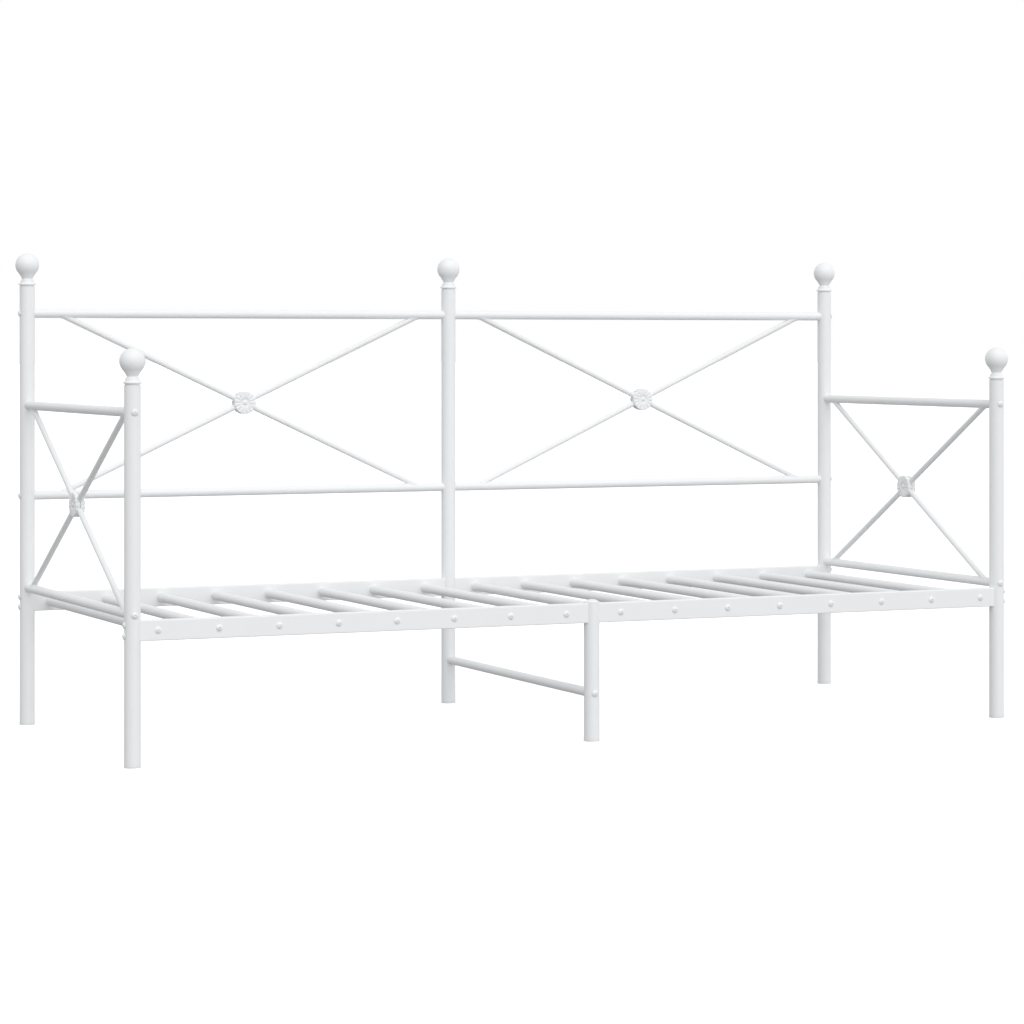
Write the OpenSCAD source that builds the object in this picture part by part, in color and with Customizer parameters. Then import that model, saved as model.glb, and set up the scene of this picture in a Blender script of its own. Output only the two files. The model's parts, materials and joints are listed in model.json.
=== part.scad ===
// Metal daybed frame. Round steel posts carry a back panel and two end panels of
// crossed bars, and two box-section seat rails carry a deck of round slats.
// Millimetres. +X runs along the bed to the right, +Y to the back, +Z up.
// The origin is on the floor under the middle of the frame.

/* [Frame] */
// Distance between the axes of the left and right corner posts
frame_length = 1952; // [1752:2:2152]
// Distance between the axes of the front and back posts
frame_depth = 744; // [644:2:944]
// Height of the top of the back post tubes
back_post_top = 933; // [925:1:1050]
// Height of the top of the front post tubes
front_post_top = 732; // [725:1:800]
// Height of the top of the front middle leg tube
middle_leg_top = 284; // [284:1:300]

/* [Posts] */
// Outer diameter of the posts and of the middle leg
post_d = 32; // [30:1:35]
// Wall thickness of the posts
post_wall = 1.5; // [1:0.1:2.5]

/* [Rails] */
// Outer diameter of the back rails, arm rails and stretcher
rail_d = 19; // [18:1:20]
// Wall thickness of the round rails
rail_wall = 1.2; // [0.8:0.1:1.8]
// Height of the axis of the back panel's top rail
back_top_z = 876; // [860:1:900]
// Height of the axis of the back panel's lower rail
back_lower_z = 488; // [470:1:520]
// Height of the axis of the arm top rails
arm_top_z = 680; // [660:1:700]
// Height of the axis of the arm lower rails
arm_lower_z = 292; // [290:1:310]
// Height of the axis of the stretcher between the middle legs
stretcher_z = 98; // [60:1:160]

/* [Crossed bars] */
// Outer diameter of the crossed bars
brace_d = 12; // [10:1:14]
// Wall thickness of the crossed bars
brace_wall = 1.2; // [0.8:0.1:1.6]
// Distance from a post axis to where a back panel bar meets the rail's axis
back_brace_inset = 69; // [50:1:120]
// Distance from a post axis to where an arm bar meets the rail's axis
arm_brace_inset = 39; // [36:1:80]

/* [Seat] */
// Height of the seat rail section
seat_rail_h = 40; // [36:1:44]
// Width of the seat rail section
seat_rail_w = 20; // [18:1:22]
// Wall thickness of the seat rails
seat_rail_wall = 1.5; // [1:0.1:2]
// Height of the underside of the seat rails
seat_rail_z = 242; // [236:1:243]
// Number of slats, an even number so that none meets the middle leg
slat_count = 16; // [12:2:16]
// Outer diameter of the slats
slat_d = 20; // [18:1:22]
// Wall thickness of the slats
slat_wall = 1.2; // [0.8:0.1:1.6]
// Distance from a corner post axis to the nearest slat axis
first_slat_inset = 48; // [44:1:70]

/* [Finials] */
// Diameter of the ball
ball_d = 50; // [46:1:54]
// Height of the ball's centre above the post
ball_rise = 46; // [44:1:50]
// Diameter of the rim that sits on the post
finial_rim_d = 36; // [36:1:40]

/* [Rosettes] */
// Diameter over the petals
rosette_d = 50; // [46:1:54]
// Number of petals
petal_count = 15; // [12:1:20]
// Distance from the bars' plane to the top of the rosette's boss
rosette_rise = 10.5; // [10:0.5:12]

/* [Fasteners] */
// Diameter of the bolt shanks
bolt_d = 6; // [5:0.5:6]
// Diameter of the bolt heads
bolt_head_d = 14; // [11:0.5:15]
// Height of the bolt heads
bolt_head_h = 4; // [3:0.5:5]

/* [Hidden] */
$fn = 64;
back_y = frame_depth / 2;
front_y = -frame_depth / 2;
right_x = frame_length / 2;
left_x = -frame_length / 2;
post_r = post_d / 2;
cut = 1;                                  // how far a cutting shape runs past a face
bolt_play = 0.25;                         // clearance round a bolt in a drilled tube
thread_play = 0.1;                        // clearance round a bolt in its insert
plug_play = 0.1;                          // clearance round a plug in its tube
bolt_hole_d = bolt_d + 2 * bolt_play;
insert_bore_d = bolt_d + 2 * thread_play;

foot_collar_h = 9;                        // part of a foot cap that shows below the tube
foot_collar_d = post_d;             // the collar, a little wider than the tube
foot_edge = 0.6;                          // bevel round the foot's bottom edge
plug_len = 24;                            // length of a plug inside its tube
cap_rise = 6;                             // height of the middle leg's domed cap
cap_plug_len = 6;                         // its plug, which ends above the seat rail studs

seat_axis_z = seat_rail_z + seat_rail_h / 2;
seat_bolt_pitch = 21;                     // height between the two bolts at a rail's end
seat_bolt_z = [seat_axis_z - seat_bolt_pitch / 2, seat_axis_z + seat_bolt_pitch / 2];
seat_corner_r = 2;
insert_len = 22;
insert_gap = 1;                           // gap between an insert and the post
frame_bolt_len = post_d + insert_gap + insert_len;
slat_half = back_y - seat_rail_w / 2;     // a slat reaches from rail to rail
half_count = slat_count / 2;              // slats on each side of the middle leg
slat_pitch = (frame_length - 2 * first_slat_inset) / (slat_count - 1);
slat_bolt_len = seat_rail_w + 15;

bay_x = frame_length / 4;                 // middle of each back panel bay
back_cross_z = (back_top_z + back_lower_z) / 2;
arm_cross_z = (arm_top_z + arm_lower_z) / 2;
back_run = bay_x - back_brace_inset;      // half a back bar, measured along X
back_climb = (back_top_z - back_lower_z) / 2;
arm_run = back_y - arm_brace_inset;       // half an arm bar, measured along Y
arm_climb = (arm_top_z - arm_lower_z) / 2;
weld_gap = 0.05;                          // room at the welded crossing of two bars

rosette_base = 0.5;                       // from the bars' plane to the rosette's flat back
rosette_plate = 8.5;                      // thickness of the petal plate
petal_tip_r = 7;
petal_groove_d = 2.6;
dish_d = 19;                              // the sunk middle of the rosette
dish_depth = 2;
boss_d = 11;                              // the domed boss inside it

white = "#f2f3f3";
white_plastic = "#eceded";
zinc = "#b9bdc0";

SLATS = [for (i = [1 : slat_count]) str("slat_", i < 10 ? "0" : "", i)];

// Turns a shape that stands along +Z so that it lies along +X or +Y.
module along_x() {
    rotate([0, 90, 0]) children();
}

module along_y() {
    rotate([-90, 0, 0]) children();
}

// A straight round tube that stands on the XY plane.
module tube(d, wall, len) {
    difference() {
        cylinder(d = d, h = len);
        translate([0, 0, -cut]) cylinder(d = d - 2 * wall, h = len + 2 * cut);
    }
}

// Holes drilled right through a post at the given heights.
module drilled_x(heights) {
    for (z = heights) {
        translate([0, 0, z]) along_x() cylinder(d = bolt_hole_d, h = 2 * post_d, center = true);
    }
}

module drilled_y(heights) {
    for (z = heights) {
        translate([0, 0, z]) along_y() cylinder(d = bolt_hole_d, h = 2 * post_d, center = true);
    }
}

// A post tube, standing on its foot cap, with its holes along the bed and across it.
module post(x, y, top, holes_x, holes_y) {
    color(white) translate([x, y, 0]) difference() {
        translate([0, 0, foot_collar_h]) tube(post_d, post_wall, top - foot_collar_h);
        drilled_x(holes_x);
        drilled_y(holes_y);
    }
}

module corner_post(x, y, top) {
    panel_holes = y > 0 ? [back_lower_z, back_top_z] : [];
    post(x, y, top, concat(seat_bolt_z, panel_holes), [arm_lower_z, arm_top_z]);
}

// A ball on a waisted neck over a rimmed collar. A spigot plugs the tube, and a narrow
// groove between the tube's end and the rim leaves a shadow line.
module finial(x, y, top) {
    groove_d = 30.4;
    rim_z = 2.6;
    rim_top_z = 6.6;
    rim_step = 1.6;
    collar_z = 9.6;
    collar_d = 29.2;
    shoulder_z = 13.2;
    shoulder_d = 26;
    waist_z = 15.6;
    waist_top_z = 18;
    waist_d = 22;
    cone_z = 29;
    cone_r = sqrt(pow(ball_d / 2, 2) - pow(ball_rise - cone_z, 2));
    color(white) translate([x, y, top]) {
        translate([0, 0, ball_rise]) sphere(d = ball_d);
        translate([0, 0, waist_top_z])
            cylinder(r1 = waist_d / 2, r2 = cone_r, h = cone_z - waist_top_z);
        translate([0, 0, waist_z]) cylinder(d = waist_d, h = waist_top_z - waist_z);
        translate([0, 0, shoulder_z])
            cylinder(d1 = shoulder_d, d2 = waist_d, h = waist_z - shoulder_z);
        translate([0, 0, collar_z])
            cylinder(d1 = collar_d, d2 = shoulder_d, h = shoulder_z - collar_z);
        translate([0, 0, rim_top_z])
            cylinder(d1 = finial_rim_d - rim_step, d2 = collar_d, h = collar_z - rim_top_z);
        translate([0, 0, rim_z]) cylinder(d = finial_rim_d, h = rim_top_z - rim_z);
        cylinder(d = groove_d, h = rim_z);
        translate([0, 0, -plug_len])
            cylinder(d = post_d - 2 * post_wall - 2 * plug_play, h = plug_len);
    }
}

// The low domed cap that closes the front middle leg just above the seat rails.
module middle_leg_cap() {
    sphere_r = (pow(post_r, 2) + pow(cap_rise, 2)) / (2 * cap_rise);
    color(white_plastic) translate([0, front_y, middle_leg_top]) {
        intersection() {
            translate([0, 0, cap_rise - sphere_r]) sphere(r = sphere_r);
            cylinder(d = post_d, h = cap_rise);
        }
        translate([0, 0, -cap_plug_len])
            cylinder(d = post_d - 2 * post_wall - 2 * plug_play, h = cap_plug_len);
    }
}

// A foot cap: a collar as wide as the tube, bevelled at the floor, and a plug inside.
module foot_cap() {
    cylinder(d1 = foot_collar_d - 2 * foot_edge, d2 = foot_collar_d, h = foot_edge);
    translate([0, 0, foot_edge]) cylinder(d = foot_collar_d, h = foot_collar_h - foot_edge);
    translate([0, 0, foot_collar_h])
        cylinder(d = post_d - 2 * post_wall - 2 * plug_play, h = plug_len);
}

module foot_caps() {
    color(white_plastic) for (x = [left_x, 0, right_x], y = [front_y, back_y]) {
        translate([x, y, 0]) foot_cap();
    }
}

// A round rail along X between two upright tubes, its ends shaped to fit round them.
module rail_x(x0, x1, y, z) {
    color(white) difference() {
        translate([x0, y, z]) along_x() tube(rail_d, rail_wall, x1 - x0);
        for (x = [x0, x1]) {
            translate([x, y, z - rail_d]) cylinder(d = post_d, h = 2 * rail_d);
        }
    }
}

// The same along Y, between the front and back uprights.
module rail_y(x, z) {
    color(white) difference() {
        translate([x, front_y, z]) along_y() tube(rail_d, rail_wall, frame_depth);
        for (y = [front_y, back_y]) {
            translate([x, y, z - rail_d]) cylinder(d = post_d, h = 2 * rail_d);
        }
    }
}

// A bar of a crossed pair in the XZ plane, centred on the crossing. rise is +1 or -1.
module bar(run, climb, rise, d, wall) {
    len = 2 * norm([run, climb]);
    rotate([0, atan2(run, rise * climb), 0]) translate([0, 0, -len / 2]) tube(d, wall, len);
}

module bar_envelope(run, climb, rise, extra) {
    len = 2 * norm([run, climb]);
    rotate([0, atan2(run, rise * climb), 0])
        cylinder(d = brace_d + 2 * extra, h = len, center = true);
}

// The rails above and below a crossing, which the bars' ends are shaped to fit.
module rails_round_cross(run, climb) {
    for (side = [-1, 1]) {
        translate([0, 0, side * climb]) along_x() cylinder(d = rail_d, h = 4 * run, center = true);
    }
}

module long_brace(run, climb) {
    difference() {
        bar(run, climb, 1, brace_d, brace_wall);
        rails_round_cross(run, climb);
    }
}

// The other bar is cut where it meets the long one, and is welded to it there.
module split_brace(run, climb) {
    difference() {
        bar(run, climb, -1, brace_d, brace_wall);
        rails_round_cross(run, climb);
        bar_envelope(run, climb, 1, weld_gap);
    }
}

// The petal plate with its front sunk in the middle and grooved between the petals.
module petal_plate() {
    petal_ring = rosette_d / 2 - petal_tip_r;
    difference() {
        linear_extrude(rosette_plate) {
            circle(r = petal_ring);
            for (i = [0 : petal_count - 1]) {
                rotate(i * 360 / petal_count) translate([petal_ring, 0])
                    circle(r = petal_tip_r, $fn = 32);
            }
        }
        translate([0, 0, rosette_plate - dish_depth]) cylinder(d = dish_d, h = dish_depth + cut);
        for (i = [0 : petal_count - 1]) {
            rotate((i + 0.5) * 360 / petal_count) translate([dish_d / 2 - cut, 0, rosette_plate])
                along_x() cylinder(d = petal_groove_d, h = rosette_d / 2, $fn = 24);
        }
    }
}

// The domed boss in the rosette's middle, standing on the plate's dish.
module rosette_boss() {
    floor_z = rosette_plate - dish_depth;
    boss_h = rosette_rise - rosette_base - floor_z;
    boss_r = (pow(boss_d / 2, 2) + pow(boss_h, 2)) / (2 * boss_h);
    intersection() {
        translate([0, 0, floor_z + boss_h - boss_r]) sphere(r = boss_r);
        translate([0, 0, floor_z - cut]) cylinder(d = boss_d, h = boss_h + cut);
    }
}

// One rosette, its back grooved to sit over the two bars.
module rosette(run, climb) {
    difference() {
        rotate([90, 0, 0]) translate([0, 0, rosette_base]) {
            petal_plate();
            rosette_boss();
        }
        bar_envelope(run, climb, 1, 0);
        bar_envelope(run, climb, -1, 0);
    }
}

// Two rosettes back to back over a crossing.
module rosette_pair(run, climb) {
    rosette(run, climb);
    rotate([0, 0, 180]) rosette(run, climb);
}

// Places a crossed pair's pieces in a back bay (side -1 left, +1 right).
module in_back_bay(side) {
    color(white) translate([side * bay_x, back_y, back_cross_z]) children();
}

// Places them in an arm, where the bars run across the bed.
module in_arm(side) {
    color(white) translate([side * right_x, 0, arm_cross_z]) rotate([0, 0, 90]) children();
}

// A box section with rounded corners, drawn in the plane across the rail.
module box_outline(w, h, r) {
    square([w, h - 2 * r], center = true);
    square([w - 2 * r, h], center = true);
    for (sx = [-1, 1], sy = [-1, 1]) {
        translate([sx * (w / 2 - r), sy * (h / 2 - r)]) circle(r = r, $fn = 32);
    }
}

module box_tube(len) {
    linear_extrude(len) difference() {
        box_outline(seat_rail_w, seat_rail_h, seat_corner_r);
        square([seat_rail_w - 2 * seat_rail_wall, seat_rail_h - 2 * seat_rail_wall],
               center = true);
    }
}

function slat_x(i) = left_x + first_slat_inset + i * slat_pitch;

// A seat rail from a corner post to the middle upright, drilled for its slats.
// side is -1 for the left half and +1 for the right half.
module seat_rail(side, y) {
    x0 = side < 0 ? left_x : 0;
    first = side < 0 ? 0 : half_count;
    color(white) difference() {
        translate([x0, y, seat_axis_z]) rotate([90, 0, 90]) box_tube(right_x);
        for (x = [x0, x0 + right_x]) {
            translate([x, y, seat_rail_z - cut]) cylinder(d = post_d, h = seat_rail_h + 2 * cut);
        }
        for (i = [first : first + half_count - 1]) {
            translate([slat_x(i), y, seat_axis_z]) along_y()
                cylinder(d = bolt_hole_d, h = 2 * seat_rail_w, center = true);
        }
    }
}

module slat(i) {
    color(white) translate([slat_x(i), -slat_half, seat_axis_z]) along_y()
        tube(slat_d, slat_wall, 2 * slat_half);
}

// A round plug with a bore, fixed inside the end of a tube and lying along +Z.
module round_insert(tube_d, tube_wall) {
    difference() {
        cylinder(d = tube_d - 2 * tube_wall - 2 * plug_play, h = insert_len);
        translate([0, 0, -cut]) cylinder(d = insert_bore_d, h = insert_len + 2 * cut);
    }
}

module slat_inserts() {
    color(zinc) for (i = [0 : slat_count - 1], side = [-1, 1]) {
        translate([slat_x(i), side * slat_half, seat_axis_z]) rotate([side * 90, 0, 0])
            round_insert(slat_d, slat_wall);
    }
}

// A dome-headed bolt along +Z with the underside of its head at zero.
module bolt(len) {
    key_depth = 2.2;
    key_d = 4.6;
    head_r = (pow(bolt_head_d / 2, 2) + pow(bolt_head_h, 2)) / (2 * bolt_head_h);
    cylinder(d = bolt_d, h = len);
    difference() {
        intersection() {
            translate([0, 0, head_r - bolt_head_h]) sphere(r = head_r);
            translate([0, 0, -bolt_head_h]) cylinder(d = bolt_head_d + cut, h = bolt_head_h);
        }
        translate([0, 0, -bolt_head_h - cut]) cylinder(d = key_d, h = key_depth + cut, $fn = 6);
    }
}

// A bolt through each seat rail into each end of every slat.
module slat_bolts() {
    head_y = back_y + seat_rail_w / 2;
    color(white) for (i = [0 : slat_count - 1], side = [-1, 1]) {
        translate([slat_x(i), side * head_y, seat_axis_z]) rotate([side * 90, 0, 0])
            bolt(slat_bolt_len);
    }
}

// Bolts through the uprights: along the bed into the seat and back rails, and
// across it into the arm rails and the stretcher.
module frame_bolts() {
    color(white) {
        for (side = [-1, 1]) {
            for (y = [front_y, back_y], z = seat_bolt_z) {
                translate([side * (right_x + post_r), y, z]) rotate([0, -side * 90, 0])
                    bolt(frame_bolt_len);
            }
            for (z = [back_lower_z, back_top_z]) {
                translate([side * (right_x + post_r), back_y, z]) rotate([0, -side * 90, 0])
                    bolt(frame_bolt_len);
            }
            for (x = [left_x, right_x], z = [arm_lower_z, arm_top_z]) {
                translate([x, side * (back_y + post_r), z]) rotate([side * 90, 0, 0])
                    bolt(frame_bolt_len);
            }
            translate([0, side * (back_y + post_r), stretcher_z]) rotate([side * 90, 0, 0])
                bolt(frame_bolt_len);
        }
    }
}

// The block inside each end of a seat rail, with a bore for each of its two bolts.
module seat_insert() {
    play = 2 * plug_play;
    difference() {
        translate([0, 0, insert_len / 2])
            cube([seat_rail_h - 2 * seat_rail_wall - play,
                  seat_rail_w - 2 * seat_rail_wall - play, insert_len], center = true);
        for (z = seat_bolt_z) {
            translate([z - seat_axis_z, 0, -cut])
                cylinder(d = insert_bore_d, h = insert_len + 2 * cut);
        }
    }
}

// Plugs in the ends of the seat rails, the back rails, the arm rails and the stretcher.
module rail_inserts() {
    start = post_r + insert_gap;
    color(zinc) {
        for (x = [left_x, 0], y = [front_y, back_y]) {
            translate([x + start, y, seat_axis_z]) along_x() seat_insert();
            translate([x + right_x - start, y, seat_axis_z]) rotate([0, -90, 0]) seat_insert();
        }
        for (x = [left_x, 0], z = [back_lower_z, back_top_z]) {
            translate([x + start, back_y, z]) along_x() round_insert(rail_d, rail_wall);
            translate([x + right_x - start, back_y, z]) rotate([0, -90, 0])
                round_insert(rail_d, rail_wall);
        }
        for (x = [left_x, right_x], z = [arm_lower_z, arm_top_z], side = [-1, 1]) {
            translate([x, side * (back_y - start), z]) rotate([side * 90, 0, 0])
                round_insert(rail_d, rail_wall);
        }
        for (side = [-1, 1]) {
            translate([0, side * (back_y - start), stretcher_z]) rotate([side * 90, 0, 0])
                round_insert(rail_d, rail_wall);
        }
    }
}

// Headless studs through the middle uprights, one rail on each end.
module joining_studs() {
    len = 2 * (post_r + insert_gap + insert_len);
    color(zinc) {
        for (y = [front_y, back_y], z = seat_bolt_z) {
            translate([0, y, z]) along_x() cylinder(d = bolt_d, h = len, center = true);
        }
        for (z = [back_lower_z, back_top_z]) {
            translate([0, back_y, z]) along_x() cylinder(d = bolt_d, h = len, center = true);
        }
    }
}

corner_post(left_x, back_y, back_post_top);  // back_left_post
post(0, back_y, back_post_top, concat(seat_bolt_z, [back_lower_z, back_top_z]), [stretcher_z]);  // back_middle_post
corner_post(right_x, back_y, back_post_top);  // back_right_post
corner_post(left_x, front_y, front_post_top);  // front_left_post
corner_post(right_x, front_y, front_post_top);  // front_right_post
post(0, front_y, middle_leg_top, seat_bolt_z, [stretcher_z]);  // front_middle_leg
finial(left_x, back_y, back_post_top);  // back_left_finial
finial(0, back_y, back_post_top);  // back_middle_finial
finial(right_x, back_y, back_post_top);  // back_right_finial
finial(left_x, front_y, front_post_top);  // front_left_finial
finial(right_x, front_y, front_post_top);  // front_right_finial
middle_leg_cap();
foot_caps();
rail_x(left_x, 0, back_y, back_top_z);  // back_top_rail_left
rail_x(0, right_x, back_y, back_top_z);  // back_top_rail_right
rail_x(left_x, 0, back_y, back_lower_z);  // back_lower_rail_left
rail_x(0, right_x, back_y, back_lower_z);  // back_lower_rail_right
in_back_bay(-1) long_brace(back_run, back_climb);  // back_left_long_brace
in_back_bay(-1) split_brace(back_run, back_climb);  // back_left_split_brace
in_back_bay(1) long_brace(back_run, back_climb);  // back_right_long_brace
in_back_bay(1) split_brace(back_run, back_climb);  // back_right_split_brace
rail_y(left_x, arm_top_z);  // left_arm_top_rail
rail_y(left_x, arm_lower_z);  // left_arm_lower_rail
rail_y(right_x, arm_top_z);  // right_arm_top_rail
rail_y(right_x, arm_lower_z);  // right_arm_lower_rail
in_arm(-1) long_brace(arm_run, arm_climb);  // left_arm_long_brace
in_arm(-1) split_brace(arm_run, arm_climb);  // left_arm_split_brace
in_arm(1) long_brace(arm_run, arm_climb);  // right_arm_long_brace
in_arm(1) split_brace(arm_run, arm_climb);  // right_arm_split_brace
in_back_bay(-1) rosette_pair(back_run, back_climb);  // back_left_rosettes
in_back_bay(1) rosette_pair(back_run, back_climb);  // back_right_rosettes
in_arm(-1) rosette_pair(arm_run, arm_climb);  // left_arm_rosettes
in_arm(1) rosette_pair(arm_run, arm_climb);  // right_arm_rosettes
seat_rail(-1, front_y);  // front_seat_rail_left
seat_rail(1, front_y);  // front_seat_rail_right
seat_rail(-1, back_y);  // back_seat_rail_left
seat_rail(1, back_y);  // back_seat_rail_right
rail_y(0, stretcher_z);  // centre_stretcher
slat_bolts();
slat_inserts();
frame_bolts();
rail_inserts();
joining_studs();
for (i = [0 : slat_count - 1]) {
    slat(i);
}
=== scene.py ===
# %% [markdown]
# # A white metal daybed frame
#
# The bed is a bolted frame of white powder-coated steel tube. Round posts carry a back panel and two
# arm panels of crossed bars, each crossing is clasped by a pair of cast flower rosettes, and two
# box-section rails carry a deck of sixteen round slats. The CAD model already holds every tube, rail
# and bolt at its true size, so Blender's work is the finish, the light, and the few cast and moulded
# pieces whose soft forms are easier to work out as surfaces than as solids.

import json
import math

import bpy
import numpy as np
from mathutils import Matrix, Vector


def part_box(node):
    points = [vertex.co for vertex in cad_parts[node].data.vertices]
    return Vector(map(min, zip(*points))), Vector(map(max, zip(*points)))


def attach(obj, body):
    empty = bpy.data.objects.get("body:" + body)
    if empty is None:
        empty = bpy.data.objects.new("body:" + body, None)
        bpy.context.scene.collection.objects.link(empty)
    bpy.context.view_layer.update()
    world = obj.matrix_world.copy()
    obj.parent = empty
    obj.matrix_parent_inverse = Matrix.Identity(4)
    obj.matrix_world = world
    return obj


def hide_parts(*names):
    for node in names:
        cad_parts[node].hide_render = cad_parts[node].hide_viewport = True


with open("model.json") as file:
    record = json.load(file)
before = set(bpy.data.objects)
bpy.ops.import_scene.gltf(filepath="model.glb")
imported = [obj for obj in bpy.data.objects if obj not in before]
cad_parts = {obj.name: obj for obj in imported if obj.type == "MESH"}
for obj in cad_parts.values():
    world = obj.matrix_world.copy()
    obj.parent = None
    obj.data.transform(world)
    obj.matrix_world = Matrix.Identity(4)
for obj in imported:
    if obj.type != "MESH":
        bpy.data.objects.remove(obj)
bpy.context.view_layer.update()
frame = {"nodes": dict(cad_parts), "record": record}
nodes = frame["nodes"]

# %% [markdown]
# ## Camera
#
# The bed is seen from a little to the left of its front, from just above the front finials. The camera
# is level, so the posts stay parallel, and its lens is shifted downwards, as an architectural
# photographer would do, to bring the bed to the middle of the picture. A long lens from nearly seven
# metres keeps the far posts from shrinking much beside the near ones.

# %% Camera
LENS_MM = 109.88
SENSOR_MM = 36.0
CAMERA_PLACE = (-2.7784, -6.1222, 0.8136)
CAMERA_TURN = math.radians(-24.3286)
LENS_SHIFT = -0.1654
VIEW_DEPTH = 400.0

camera_data = bpy.data.cameras.new("studio_camera")
camera_data.lens = LENS_MM
camera_data.sensor_width = SENSOR_MM
camera_data.shift_y = LENS_SHIFT
camera_data.clip_end = VIEW_DEPTH
camera = bpy.data.objects.new("studio_camera", camera_data)
camera.location = CAMERA_PLACE
camera.rotation_euler = (math.radians(90), 0.0, CAMERA_TURN)
bpy.context.scene.collection.objects.link(camera)
bpy.context.scene.camera = camera
print("camera at", CAMERA_PLACE, "with a", LENS_MM, "mm lens")

# %% [markdown]
# ## Colour
#
# Paint colours are easiest to name as the hex values a paint chart gives, which are in sRGB. Blender's
# shaders work in linear light, so one function does the change for every colour in this file. The
# Standard view keeps white paint white instead of rolling it off to grey.

# %% Colour helper
bpy.context.scene.view_settings.view_transform = "Standard"


def linear(hex_colour):
    """sRGB hex to linear RGBA: c/12.92 below 0.04045, else ((c + 0.055) / 1.055) to the power 2.4."""
    channels = np.array([int(hex_colour[i:i + 2], 16) for i in (1, 3, 5)]) / 255.0
    low, high = channels / 12.92, ((channels + 0.055) / 1.055) ** 2.4
    return (*np.where(channels <= 0.04045, low, high).tolist(), 1.0)


print("paper white in linear light:", [round(c, 3) for c in linear("#f4f5f5")])

# %% [markdown]
# ## Nodes
#
# Every material and the room are small trees of nodes. One function adds a node and sets it up, so that
# each line below reads as one step of the recipe.

# %% Node helper
def add_node(tree, kind, **settings):
    """Adds a node. A setting names a property of the node or else an input, which is linked or set."""
    node = tree.nodes.new(kind)
    for key, value in settings.items():
        if hasattr(node, key):
            setattr(node, key, value)
            continue
        socket = next(s for s in node.inputs if s.enabled and s.name == key.replace("_", " "))
        if isinstance(value, bpy.types.NodeSocket):
            tree.links.new(value, socket)
        else:
            socket.default_value = value
    return node


print("helper:", add_node.__doc__)

# %% [markdown]
# ## Room light
#
# A white frame on white paper is read from its shading alone, so the light has to fall off across
# every tube. The room is a large studio, brighter above, where light bounces off the ceiling, than
# below. Its walls are papered, so the camera sees plain white behind the bed, however dim the light
# that the same walls throw on to the paint.

# %% Room light
ROOM_ABOVE, ROOM_BELOW = 0.70, 0.34
HORIZON_BLUR = 0.08
PAPER_WHITE = 1.0
world = bpy.data.worlds.new("papered_studio")
bpy.context.scene.world = world
world.use_nodes = True
walls = world.node_tree
walls.nodes.clear()
direction = add_node(walls, "ShaderNodeTexCoord").outputs["Generated"]
height = add_node(walls, "ShaderNodeSeparateXYZ", Vector=direction).outputs["Z"]
level = add_node(walls, "ShaderNodeMapRange", interpolation_type="SMOOTHSTEP", Value=height,
                 From_Min=-HORIZON_BLUR, From_Max=HORIZON_BLUR, To_Min=ROOM_BELOW, To_Max=ROOM_ABOVE)
seen = add_node(walls, "ShaderNodeLightPath").outputs["Is Camera Ray"]
strength = add_node(walls, "ShaderNodeMix", data_type="FLOAT", Factor=seen,
                    A=level.outputs["Result"], B=PAPER_WHITE)
room = add_node(walls, "ShaderNodeBackground", Color=linear("#ffffff"),
                Strength=strength.outputs["Result"])
add_node(walls, "ShaderNodeOutputWorld", Surface=room.outputs["Background"])
print("room light:", ROOM_BELOW, "below,", ROOM_ABOVE, "above")

# %% [markdown]
# ## Soft panels
#
# Shape on white paint comes from a few large lamps rather than one strong one. A sun lamp has no
# distance, so both ends of a two-metre bed get the same light, and widened to fifty degrees its edge
# is as soft as a silk-covered panel the size of a wall. The main panel hangs above the camera, a
# second one beside it to the right, and weaker panels give the right-hand edges and the far-left ones
# a lift. The left is left dim on purpose: that is what turns each tube round.

# %% Soft panels
PANEL_DEGREES = 50.0
CAMERA_BEARING = math.atan2(CAMERA_PLACE[1], CAMERA_PLACE[0])
PANELS = {
    "key_panel": (0, 45, 0.27),
    "right_key_panel": (50, 45, 0.108),
    "low_right_panel": (35, 5, 0.115),
    "far_right_panel": (125, 5, 0.090),
    "right_bounce_card": (90, -40, 0.078),
    "far_left_panel": (-150, 5, 0.054),
}


def soft_panel(name, degrees_right, degrees_up, share):
    """A wide sun lamp. Its bearing is counted from the camera to the right, seen from the bed.

    share is the light that it would give a white sheet facing it, where 1 is paper white.
    """
    data = bpy.data.lights.new(name, "SUN")
    data.angle = math.radians(PANEL_DEGREES)
    data.energy = math.pi * share
    panel = bpy.data.objects.new(name, data)
    bearing = CAMERA_BEARING + math.radians(degrees_right)
    panel.rotation_euler = (math.radians(90 - degrees_up), 0.0, bearing + math.radians(90))
    bpy.context.scene.collection.objects.link(panel)
    print(f"{name}: {degrees_right} degrees right, {degrees_up} up, {share} of paper white")


for name, setting in PANELS.items():
    soft_panel(name, *setting)

# %% [markdown]
# ## Paper floor
#
# The bed stands on seamless white paper. The sheet is very wide, so that its edge is never in view. It
# glows a little, as paper lit from behind does, which leaves only the faintest shadow under the bed.
# The sheet is seen by the camera only. It throws no light up on to the paint and lets the light from
# below through, because the room light already counts the floor's share.

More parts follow.
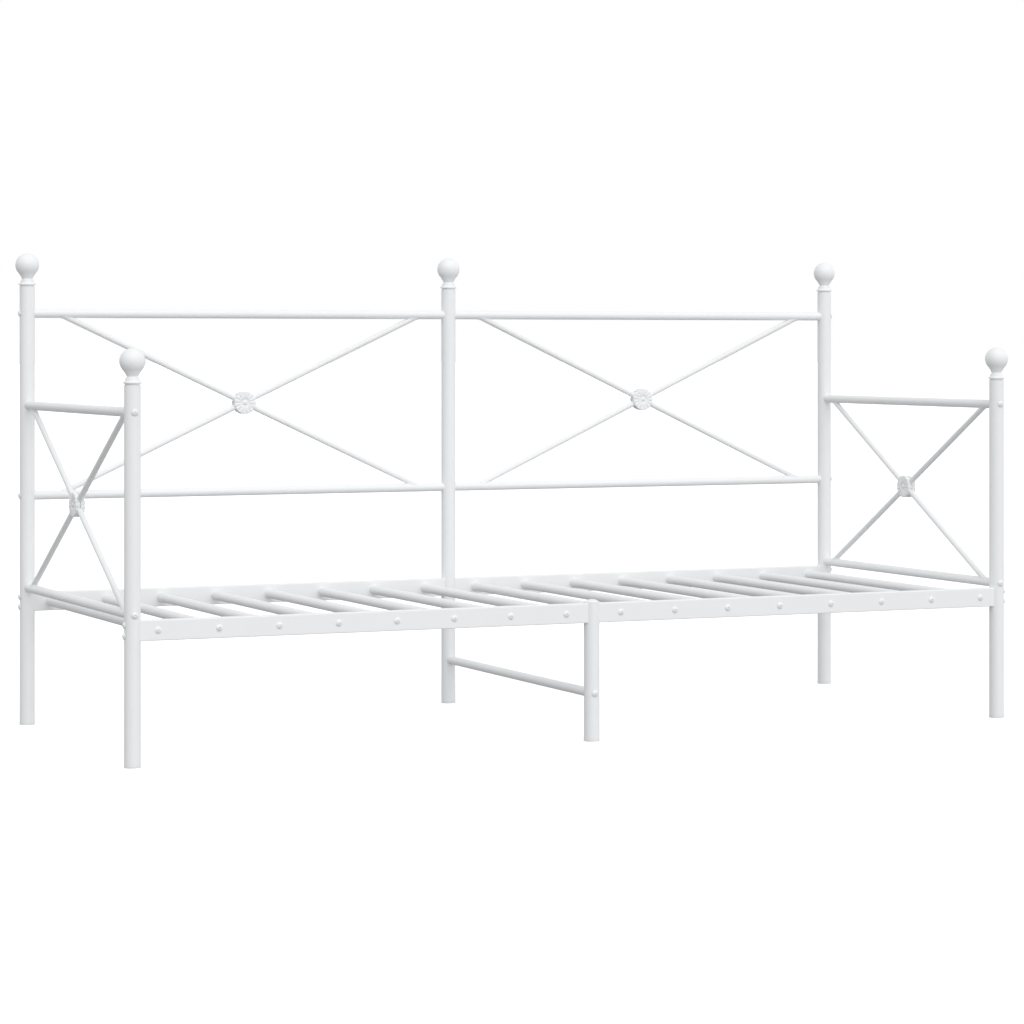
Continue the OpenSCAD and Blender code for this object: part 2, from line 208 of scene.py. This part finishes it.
# %% Paper floor
FLOOR_HALF = 110.0
PAPER_GLOW = 0.3
corners = np.array([[-1, -1, 0], [1, -1, 0], [1, 1, 0], [-1, 1, 0]]) * FLOOR_HALF
floor_mesh = bpy.data.meshes.new("paper_floor")
floor_mesh.from_pydata(corners.tolist(), [], [(0, 1, 2, 3)])
floor = bpy.data.objects.new("paper_floor", floor_mesh)
bpy.context.scene.collection.objects.link(floor)
floor.visible_diffuse = False
floor.visible_glossy = False
floor.visible_shadow = False
paper = bpy.data.materials.new("white_backdrop_paper")
paper.use_nodes = True
paper.node_tree.nodes.clear()
paper_face = add_node(paper.node_tree, "ShaderNodeBsdfPrincipled", Base_Color=linear("#ffffff"),
                      Roughness=1.0, Specular_IOR_Level=0.0,
                      Emission_Color=linear("#ffffff"), Emission_Strength=PAPER_GLOW)
add_node(paper.node_tree, "ShaderNodeOutputMaterial", Surface=paper_face.outputs["BSDF"])
floor_mesh.materials.append(paper)
print("floor:", 2 * FLOOR_HALF, "m across")

# %% [markdown]
# ## White powder coat
#
# Powder coat is a polyester paint sprayed on as dry powder and baked until it flows. It is thicker than
# wet paint and dries to a satin skin with a faint orange peel: low hills a couple of millimetres apart
# that soften every highlight. Two scales of noise make the peel, and a third, much wider, lets the
# film's colour and gloss drift slightly, as it does where the spray lay thicker. One recipe serves the
# tubes, the castings and the painted bolt heads, with different numbers.

# %% Sprayed finishes
MM = 0.001
PAINT_IOR = 1.5
COLOUR_DRIFT_MM, GLOSS_DRIFT_MM = 55.0, 9.0
HILL_FOOT, HILL_TOP = 0.3, 0.7


def hills(tree, width_mm, detail=2.0):
    """Smooth noise in the object's own space whose hills are about width_mm apart."""
    point = add_node(tree, "ShaderNodeTexCoord").outputs["Object"]
    scale = 1.0 / (width_mm * MM)
    return add_node(tree, "ShaderNodeTexNoise", Vector=point, Scale=scale, Detail=detail).outputs["Fac"]


def new_material(name):
    """An empty node material."""
    made = bpy.data.materials.new(name)
    made.use_nodes = True
    made.node_tree.nodes.clear()
    return made, made.node_tree


def baked_skin(name, thin, thick, gloss, peel_mm, peel_height_mm):
    """A sprayed and baked skin: colour drifts between two whites, roughness between two values."""
    made, tree = new_material(name)
    colour = add_node(tree, "ShaderNodeMix", data_type="RGBA", Factor=hills(tree, COLOUR_DRIFT_MM),
                      A=linear(thin), B=linear(thick))
    rough = add_node(tree, "ShaderNodeMapRange", Value=hills(tree, GLOSS_DRIFT_MM, 4.0),
                     From_Min=HILL_FOOT, From_Max=HILL_TOP, To_Min=gloss[0], To_Max=gloss[1])
    peel = add_node(tree, "ShaderNodeBump", Height=hills(tree, peel_mm, 3.0), Strength=1.0,
                    Distance=peel_height_mm * MM)
    face = add_node(tree, "ShaderNodeBsdfPrincipled", Base_Color=colour.outputs[2], IOR=PAINT_IOR,
                    Roughness=rough.outputs["Result"], Normal=peel.outputs["Normal"])
    add_node(tree, "ShaderNodeOutputMaterial", Surface=face.outputs["BSDF"])
    print(name, "- peel", peel_mm, "mm wide and", peel_height_mm, "mm high")
    return made


powder_coat = baked_skin("white_polyester_powder_coat", "#f0f2f3", "#f3f5f6", (0.38, 0.52), 2.4, 0.05)
bolt_enamel = baked_skin("white_baked_bolt_enamel", "#eef0f1", "#f1f3f4", (0.30, 0.42), 1.6, 0.02)

# %% [markdown]
# ## Moulded caps
#
# The feet and the cap on the middle leg are polypropylene, moulded in a spark-eroded tool. That leaves
# an even, very fine grain and a flatter shine than the paint beside it, and a white a shade duller.

# %% Moulded polypropylene
POLYPROPYLENE_IOR = 1.49
GRAIN_MM, GRAIN_HEIGHT_MM, TONE_MM, FLOW_MM = 0.8, 0.03, 20.0, 3.0
moulded, tree = new_material("white_polypropylene_moulded")
grain = add_node(tree, "ShaderNodeBump", Height=hills(tree, GRAIN_MM, 3.0), Strength=1.0,
                 Distance=GRAIN_HEIGHT_MM * MM)
tone = add_node(tree, "ShaderNodeMix", data_type="RGBA", Factor=hills(tree, TONE_MM),
                A=linear("#ecefef"), B=linear("#eff2f2"))
gloss = add_node(tree, "ShaderNodeMapRange", Value=hills(tree, FLOW_MM), To_Min=0.50, To_Max=0.62)
face = add_node(tree, "ShaderNodeBsdfPrincipled", Base_Color=tone.outputs[2], IOR=POLYPROPYLENE_IOR,
                Roughness=gloss.outputs["Result"], Normal=grain.outputs["Normal"])
add_node(tree, "ShaderNodeOutputMaterial", Surface=face.outputs["BSDF"])
print("made", moulded.name)

# %% [markdown]
# ## Bright zinc
#
# The threaded plugs and studs that the bolts bite into sit inside the tubes. They are turned steel,
# barrel-plated with zinc: a cool grey metal with a fine lathe grain and faint cloudy patches.

# %% Zinc-plated steel
CLOUD_MM, LATHE_MM, LATHE_HEIGHT_MM, SHINE_MM = 6.0, 0.4, 0.01, 2.0
zinc, tree = new_material("zinc_plated_turned_steel")
cloud = add_node(tree, "ShaderNodeMix", data_type="RGBA", Factor=hills(tree, CLOUD_MM, 3.0),
                 A=linear("#b9bdc1"), B=linear("#cdd0d2"))
lathe_grain = add_node(tree, "ShaderNodeBump", Height=hills(tree, LATHE_MM), Strength=1.0,
                       Distance=LATHE_HEIGHT_MM * MM)
shine = add_node(tree, "ShaderNodeMapRange", Value=hills(tree, SHINE_MM), To_Min=0.24, To_Max=0.38)
face = add_node(tree, "ShaderNodeBsdfPrincipled", Base_Color=cloud.outputs[2], Metallic=1.0,
                Roughness=shine.outputs["Result"], Normal=lathe_grain.outputs["Normal"])
add_node(tree, "ShaderNodeOutputMaterial", Surface=face.outputs["BSDF"])
print("made", zinc.name)

# %% [markdown]
# ## Finish on every CAD piece
#
# The record says which finish each CAD node wears, so one table from finish to material paints the
# whole frame. Only the material slot changes: the tubes and bolts keep the CAD model's exact faces.

# %% Paint the CAD nodes
FINISHES = {
    "white_powder_coat": powder_coat,
    "white_bolt_paint": bolt_enamel,
    "white_plastic": moulded,
    "zinc_plated_steel": zinc,
}
for part in frame["record"]["subparts"]:
    mesh = nodes[part["node"]].data
    mesh.materials.clear()
    mesh.materials.append(FINISHES[part["material_slot"]])

# %% [markdown]
# ## Surfaces from arrays
#
# Every new piece but the weld beads is a stack of rings with a single point at each end, like a globe's
# circles of latitude between its poles. The rings come from numpy as one array, so a turned knob, a
# moulded foot and a petalled casting all go through the same small function.

# %% Closed skin
def skin_faces(rings, around, start=0):
    """Faces of one closed skin whose vertices are a first pole, rings * around points, a last pole.

    Ring k's point j is start + 1 + k * around + j. Side faces join (k, j), (k, j+1), (k+1, j+1) and
    (k+1, j); the end faces are fans. Rings run up the outside and turn anticlockwise, seen from above.
    """
    j = np.arange(around)
    after = (j + 1) % around
    k = np.arange(rings - 1)[:, None] * around + start + 1
    sides = np.stack([k + j, k + after, k + around + after, k + around + j], axis=-1).reshape(-1, 4)
    top = start + 1 + (rings - 1) * around
    last = start + 1 + rings * around
    bottom_fan = np.stack([np.full(around, start), start + 1 + after, start + 1 + j], axis=-1)
    top_fan = np.stack([np.full(around, last), top + j, top + after], axis=-1)
    return sides.tolist() + bottom_fan.tolist() + top_fan.tolist()


def build(name, skins, finish, stands_for, crease_degrees=34.0):
    """Makes one object of several closed skins. Each skin is (first pole, rings, last pole)."""
    points, faces = [], []
    for first, rings, last in skins:
        faces += skin_faces(rings.shape[0], rings.shape[1], sum(len(p) for p in points))
        points.append(np.vstack([first, rings.reshape(-1, 3), last]))
    mesh = bpy.data.meshes.new(name)
    mesh.from_pydata(np.vstack(points).tolist(), [], faces)
    mesh.shade_smooth()
    mesh.set_sharp_from_angle(angle=math.radians(crease_degrees))
    mesh.materials.append(finish)
    piece = bpy.data.objects.new(name, mesh)
    bpy.context.scene.collection.objects.link(piece)
    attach(piece, "root")
    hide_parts(*stands_for)
    print(name, "-", len(mesh.vertices), "vertices,", len(mesh.polygons), "faces")
    return piece


print("a skin of 3 rings of 4 points has", len(skin_faces(3, 4)), "faces")

# %% [markdown]
# ## Turning a profile
#
# The finials, the cap and the feet are all round, so each is drawn as half an outline and turned. An
# outline is a list of radius and height in millimetres, from the axis at the bottom to the axis at the
# top, and its rounded stretches are arcs of circles.

# %% Turned skin
TURNS = 72


def turned(profile_mm, place):
    """Turns a profile about the vertical through place: (r, z) goes to (r cos a, r sin a, z)."""
    profile = np.asarray(profile_mm) * MM
    angle = np.linspace(0.0, 2 * np.pi, TURNS, endpoint=False)
    radius, rise = profile[1:-1, 0][:, None], profile[1:-1, 1][:, None]
    rings = np.stack([radius * np.cos(angle), radius * np.sin(angle), rise + 0 * angle], axis=-1)
    first, last = np.array([0, 0, profile[0, 1]]), np.array([0, 0, profile[-1, 1]])
    return first + place, rings + place, last + place


def arc(centre, radius, start, end, steps=8):
    """Points of a circle about centre, from start to end degrees, in the profile's own plane."""
    a = np.radians(np.linspace(start, end, steps))
    return np.stack([centre[0] + radius * np.cos(a), centre[1] + radius * np.sin(a)], axis=-1)


print("turned pieces have", TURNS, "points round each ring")

# %% [markdown]
# ## Ball finials
#
# Each corner post and the back middle post ends in a ball on a waisted neck. The real one is a casting
# with a spigot that plugs the tube. Turning one profile gives all five: a narrow groove above the
# tube's end, which reads as a dark line, a rounded rim, a slightly tapered collar, a steep shoulder, a
# soft waist that flares into the underside of the ball, and the ball itself. The small radii catch the
# light as thin lines, so they are drawn even though each is under two millimetres.

# %% Finials
BALL_R, BALL_RISE, NECK_TOP = 25.0, 46.0, 29.0
neck_r = math.sqrt(BALL_R ** 2 - (BALL_RISE - NECK_TOP) ** 2)
neck_angle = math.degrees(math.atan2(NECK_TOP - BALL_RISE, neck_r))
spigot = [(0.0, -24.0), (13.6, -24.0), (14.4, -23.2), (14.4, 0.05)]
groove = [(14.9, 0.05), (14.9, 2.8), (15.2, 3.2)]
rim = np.vstack([[(17.3, 3.3)], arc((17.7, 4.0), 0.7, -90, 0, 7), arc((17.4, 5.4), 1.0, 0, 70, 6)])
collar = [(16.8, 6.9), (15.7, 7.9), (15.0, 8.8), (14.7, 9.6)]
shoulder = np.vstack([[(13.5, 12.6)], arc((12.0, 12.6), 1.5, 15, 70, 6), [(11.7, 14.7)]])
waist = arc((12.6, 16.9), 1.6, 230, 140, 9)
flare = [(12.9, 20.9), (15.6, 25.0), (17.7, 28.3)]
ball = np.vstack([arc((0.0, BALL_RISE), BALL_R, neck_angle + 1.2, 88.0, 40),
                  [(0.0, BALL_RISE + BALL_R)]])
finial_profile = np.vstack([spigot, groove, rim, collar, shoulder, waist, flare, ball])
FINIALS = ["back_left", "back_middle", "back_right", "front_left", "front_right"]
for corner in FINIALS:
    low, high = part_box(f"{corner}_finial")
    place = np.array([(low.x + high.x) / 2, (low.y + high.y) / 2, high.z - (BALL_RISE + BALL_R) * MM])
    build(f"{corner}_ball_finial", [turned(finial_profile, place)], powder_coat,
          [f"{corner}_finial"])

# %% [markdown]
# ## Cap on the middle leg
#
# The short leg in the middle of the front ends just above the seat rail, under a low dome. The dome is
# part of a large sphere, whose radius follows from its width and its rise, with a small rounded edge
# and a plug that holds it in the tube.

# %% Middle leg's cap
CAP_RISE, TUBE_R, PLUG_R = 6.0, 16.0, 14.4
dome_r = (TUBE_R ** 2 + CAP_RISE ** 2) / (2 * CAP_RISE)
dome_edge = math.degrees(math.asin((dome_r - CAP_RISE + 0.9) / dome_r))
cap_plug = [(0.0, -6.0), (13.9, -6.0), (PLUG_R, -5.5), (PLUG_R, 0.0)]
cap_edge = [(15.5, 0.0), (15.9, 0.35)]
dome = np.vstack([arc((0.0, CAP_RISE - dome_r), dome_r, dome_edge, 89.0, 14), [(0.0, CAP_RISE)]])
cap_profile = np.vstack([cap_plug, cap_edge, dome])
low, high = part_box("middle_leg_cap")
place = np.array([(low.x + high.x) / 2, (low.y + high.y) / 2, high.z - CAP_RISE * MM])
build("domed_leg_cap", [turned(cap_profile, place)], moulded, ["middle_leg_cap"])

# %% [markdown]
# ## Feet
#
# Each of the six legs stands on a moulded foot. Its collar is flush with the tube, so all that shows is
# the fine line where the two meet, and its bottom edge is slightly rounded. The rest is a plug inside.

# %% Foot caps
COLLAR, PLUG, COLLAR_R = 9.0, 24.0, TUBE_R
sole = np.vstack([[(0.0, 0.0), (PLUG_R, 0.0)], arc((15.4, 0.6), 0.6, -90, 0, 5)])
collar_top = arc((15.6, COLLAR - 0.4), 0.4, 0, 90, 5)
foot_plug = [(PLUG_R, COLLAR), (PLUG_R, COLLAR + PLUG - 1.0),
             (PLUG_R - 1.0, COLLAR + PLUG), (0.0, COLLAR + PLUG)]
foot_profile = np.vstack([sole, collar_top, foot_plug])
low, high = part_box("foot_caps")
feet_x = [low.x + COLLAR_R * MM, 0.0, high.x - COLLAR_R * MM]
feet_y = [low.y + COLLAR_R * MM, high.y - COLLAR_R * MM]
feet = [turned(foot_profile, np.array([x, y, 0.0])) for x in feet_x for y in feet_y]
build("moulded_foot_caps", feet, moulded, ["foot_caps"])

# %% [markdown]
# ## Petalled rosettes
#
# Two thin castings clasp each crossing of the bars, back to back. Each is a daisy of fifteen pillowy
# petals round a sunk dish with a small boss in it. A casting like this is a height above the plane of
# the bars that depends only on the distance from the middle and the angle round it, so it can be
# worked out directly: across a petal the height falls like the side of a pillow into the groove, along
# it the crest is nearly level and then rounds over at the tip. The back is flat but for two channels,
# where it rests on the bars.

# %% Rosette skin
PETALS, PETAL_STEPS = 15, 12
TIP_R, VALLEY_R, DISH_R, BOSS_R = 25.0, 24.0, 9.5, 5.0
BACK_PLANE, DISH_Z, CREST_Z, TIP_Z, BOSS_Z = 0.1, 8.6, 10.2, 8.9, 11.2
BAR_R = 6.0
BOSS_START_R, BOSS_RINGS, TIP_RINGS, PETAL_RINGS = 0.9, 8, 8, 9
DISH_CURVE_R = np.array([6.0, 6.9, 7.9, 8.8, 9.3])
DISH_CURVE_Z = np.array([-0.12, -0.15, 0.0, 0.45, 0.95])
LEVEL_TO, CREST_BULGE = 0.90, 0.4
RIM_DIP, RIM_SHARE = 0.8, 0.12
GROOVE_DEPTH, GROOVE_START, GROOVE_LEAST, GROOVE_FADE = 1.5, 0.25, 0.12, 0.85
PILLOW_POWER, PILLOW_ROUND = 2.4, 0.6
THINNEST, EDGE_IN, EDGE_UP, EDGE_LEAST = 0.35, 0.4, 0.4, 0.2


def rosette(run, climb):
    """One rosette in millimetres, its front towards +z: (first pole, rings, last pole).

    Angle a and petal coordinate u: u is 0 on a petal's middle and 1 or -1 in the grooves beside it.
    The outline is VALLEY_R + (TIP_R - VALLEY_R) * sqrt(1 - u^2). The boss is a cap of a sphere, and a
    short curve round it makes the dish. From the dish (s = 0) to the tip (s = 1) the crest is level
    to LEVEL_TO, but for a bulge of CREST_BULGE * sin(pi * s), and ends in a quarter ellipse. It starts
    RIM_DIP lower, at the dish's rim. The groove takes away
    GROOVE_DEPTH * (1 - (1 - |u|^PILLOW_POWER)^PILLOW_ROUND), growing in up to s = GROOVE_START and
    fading near the tip. The back is BACK_PLANE, or sqrt(BAR_R^2 - d^2) where a bar's axis is d away,
    and always at least THINNEST below the front.
    """
    angle = np.arange(PETALS * PETAL_STEPS) * 2 * np.pi / (PETALS * PETAL_STEPS)
    u = 2 * ((angle * PETALS / (2 * np.pi) + 0.5) % 1.0) - 1
    outline = VALLEY_R + (TIP_R - VALLEY_R) * np.sqrt(1 - u ** 2)

    boss_rise = BOSS_Z - DISH_Z
    boss_sphere = (BOSS_R ** 2 + boss_rise ** 2) / (2 * boss_rise)
    r_boss = np.linspace(BOSS_START_R, BOSS_R, BOSS_RINGS)
    z_boss = BOSS_Z - boss_sphere + np.sqrt(boss_sphere ** 2 - r_boss ** 2)
    inner_r = np.concatenate([r_boss, DISH_CURVE_R])[:, None] + 0 * u
    inner_z = np.concatenate([z_boss, DISH_Z + DISH_CURVE_Z])[:, None] + 0 * u

    rounding = LEVEL_TO + (1 - LEVEL_TO) * np.sin(np.linspace(0.08, 0.5, TIP_RINGS) * np.pi)
    s = np.concatenate([np.linspace(0.0, LEVEL_TO, PETAL_RINGS), rounding])[:, None]
    past = np.clip((s - LEVEL_TO) / (1 - LEVEL_TO), 0, 1)
    crest = TIP_Z + (CREST_Z + CREST_BULGE * np.sin(np.pi * s) - TIP_Z) * np.sqrt(1 - past ** 2)
    crest = crest - RIM_DIP * (1 - np.clip(s / RIM_SHARE, 0, 1)) ** 2
    pillow = 1 - (1 - np.abs(u) ** PILLOW_POWER) ** PILLOW_ROUND
    depth = GROOVE_DEPTH * np.clip(s / GROOVE_START, GROOVE_LEAST, 1)
    depth = depth * np.sqrt(1 - GROOVE_FADE * past ** 2)
    outer_r = DISH_R + (outline - DISH_R) * s
    outer_z = crest - depth * pillow

    front_r = np.vstack([inner_r, outer_r])
    front_z = np.vstack([inner_z, outer_z])
    x, y = front_r * np.cos(angle), front_r * np.sin(angle)
    length = math.hypot(run, climb)
    d = np.minimum(np.abs(x * climb - y * run), np.abs(x * climb + y * run)) / length
    over_bar = np.sqrt(np.clip(BAR_R ** 2 - d ** 2, 0, None))
    back_z = np.minimum(np.maximum(BACK_PLANE, over_bar), front_z - THINNEST)
    shrink = np.ones_like(front_r)
    shrink[-1] = (front_r[-1] - EDGE_IN) / front_r[-1]
    back = np.stack([x * shrink, y * shrink, back_z], axis=-1)
    wall_z = np.minimum(back_z[-1] + EDGE_UP, front_z[-1] - EDGE_LEAST)
    wall = np.stack([x[-1], y[-1], wall_z], axis=-1)[None]
    front = np.stack([x, y, front_z], axis=-1)[::-1]
    return np.array([0, 0, BAR_R]), np.concatenate([back, wall, front]), np.array([0, 0, BOSS_Z])


def turn_to(skin, place, across, up):
    """Carries a skin in millimetres to its place: x goes along across, y along up, z along the third."""
    axes = np.array([across, up, np.cross(across, up)], float)
    return tuple(points * MM @ axes + place for points in skin)


print("a rosette has", PETALS, "petals and is", 2 * TIP_R, "mm across")

# %% [markdown]
# ## A pair of rosettes on each crossing
#
# The bars of a back bay are longer and flatter than those of an arm, so the channels in their rosettes
# lie at another angle. Each crossing is given by the run and the climb of a bar from the crossing to
# its end, in millimetres, and by the direction that its panel runs in. The two castings of a pair are
# the same skin, one of them turned to face the other way.

# %% Rosettes on their crossings
BACK_BAR, ARM_BAR = (419.0, 194.0), (333.0, 194.0)
ALONG_X, ALONG_Y = (1, 0, 0), (0, 1, 0)
CROSSINGS = {
    "back_left": (BACK_BAR, ALONG_X),
    "back_right": (BACK_BAR, ALONG_X),
    "left_arm": (ARM_BAR, ALONG_Y),
    "right_arm": (ARM_BAR, ALONG_Y),
}
UP = np.array([0, 0, 1])
for name, (slope, along) in CROSSINGS.items():
    low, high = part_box(f"{name}_rosettes")
    place = np.array((low + high) / 2)
    skin = rosette(*slope)
    pair = [turn_to(skin, place, side * np.array(along), UP) for side in (1, -1)]
    build(f"{name}_petal_rosettes", pair, powder_coat, [f"{name}_rosettes"])

# %% [markdown]
# ## Weld beads
#
# The bars' ends are welded to the rails. A weld is a small bead laid round the joint, so its path is
# the line where the bar's cylinder meets the rail's cylinder. Going round the bar, each point slides
# along the bar until it reaches the rail's surface, and a thin tube is carried along that closed line.
# Its radius swells and narrows a little, because a weld is a row of overlapping drops.

# %% Weld beads
RAIL_R = 9.5
BEAD_R, BEAD_SWELL, BEAD_DROPS = 1.3, 0.18, 22
BEAD_STEPS, BEAD_SIDES = 132, 10


def weld_bead(run, climb):
    """A closed bead in millimetres round the upper end of a bar that rises along +x.

    The bar's axis is s * (run, climb) / length, and its surface is BAR_R off it at angle a. The rail's
    axis is level at y = climb. The point at angle a is on both when its height is climb minus
    sqrt(RAIL_R^2 - (BAR_R cos a)^2), which gives s. The bead is a tube of radius BEAD_R about it.
    """
    along = np.array([run, climb, 0.0]) / math.hypot(run, climb)
    out, aside = np.array([0.0, 0.0, 1.0]), np.array([-along[1], along[0], 0.0])
    a = (np.arange(BEAD_STEPS) * 2 * np.pi / BEAD_STEPS)[:, None]
    normal = np.cos(a) * out + np.sin(a) * aside
    level = climb - np.sqrt(RAIL_R ** 2 - (BAR_R * np.cos(a)) ** 2)
    s = (level - BAR_R * np.sin(a) * aside[1]) / along[1]
    path = s * along + BAR_R * normal
    tangent = np.roll(path, -1, axis=0) - np.roll(path, 1, axis=0)
    tangent /= np.linalg.norm(tangent, axis=1)[:, None]
    side = np.cross(tangent, normal)
    radius = (BEAD_R + BEAD_SWELL * np.sin(BEAD_DROPS * a))[:, None]
    b = (np.arange(BEAD_SIDES) * 2 * np.pi / BEAD_SIDES)[None, :, None]
    return path[:, None] + radius * (np.cos(b) * normal[:, None] + np.sin(b) * side[:, None])


def loop_faces(start):
    """Faces of a tube closed on itself both ways: (k, j), (k+1, j), (k+1, j+1), (k, j+1)."""
    k, j = np.meshgrid(np.arange(BEAD_STEPS), np.arange(BEAD_SIDES), indexing="ij")
    k2, j2 = (k + 1) % BEAD_STEPS, (j + 1) % BEAD_SIDES
    corners = [k * BEAD_SIDES + j, k2 * BEAD_SIDES + j, k2 * BEAD_SIDES + j2, k * BEAD_SIDES + j2]
    return (np.stack(corners, axis=-1).reshape(-1, 4) + start).tolist()


for name, (slope, along) in CROSSINGS.items():
    low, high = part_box(f"{name}_rosettes")
    place = np.array((low + high) / 2)
    bead = weld_bead(*slope)
    points, faces = [], []
    for across in (1, -1):
        for rise in (1, -1):
            run_axis, climb_axis = across * np.array(along), rise * UP
            axes = np.array([run_axis, climb_axis, np.cross(run_axis, climb_axis)])
            faces += loop_faces(sum(len(p) for p in points))
            points.append(bead.reshape(-1, 3) * MM @ axes + place)
    mesh = bpy.data.meshes.new(f"{name}_weld_beads")
    mesh.from_pydata(np.vstack(points).tolist(), [], faces)
    mesh.shade_smooth()
    mesh.materials.append(powder_coat)
    beads = bpy.data.objects.new(f"{name}_weld_beads", mesh)
    bpy.context.scene.collection.objects.link(beads)
    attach(beads, "root")
    print(beads.name, "-", len(mesh.polygons), "faces")

# %% [markdown]
# ## Sizes
#
# Nothing soft or loose was added to the frame.
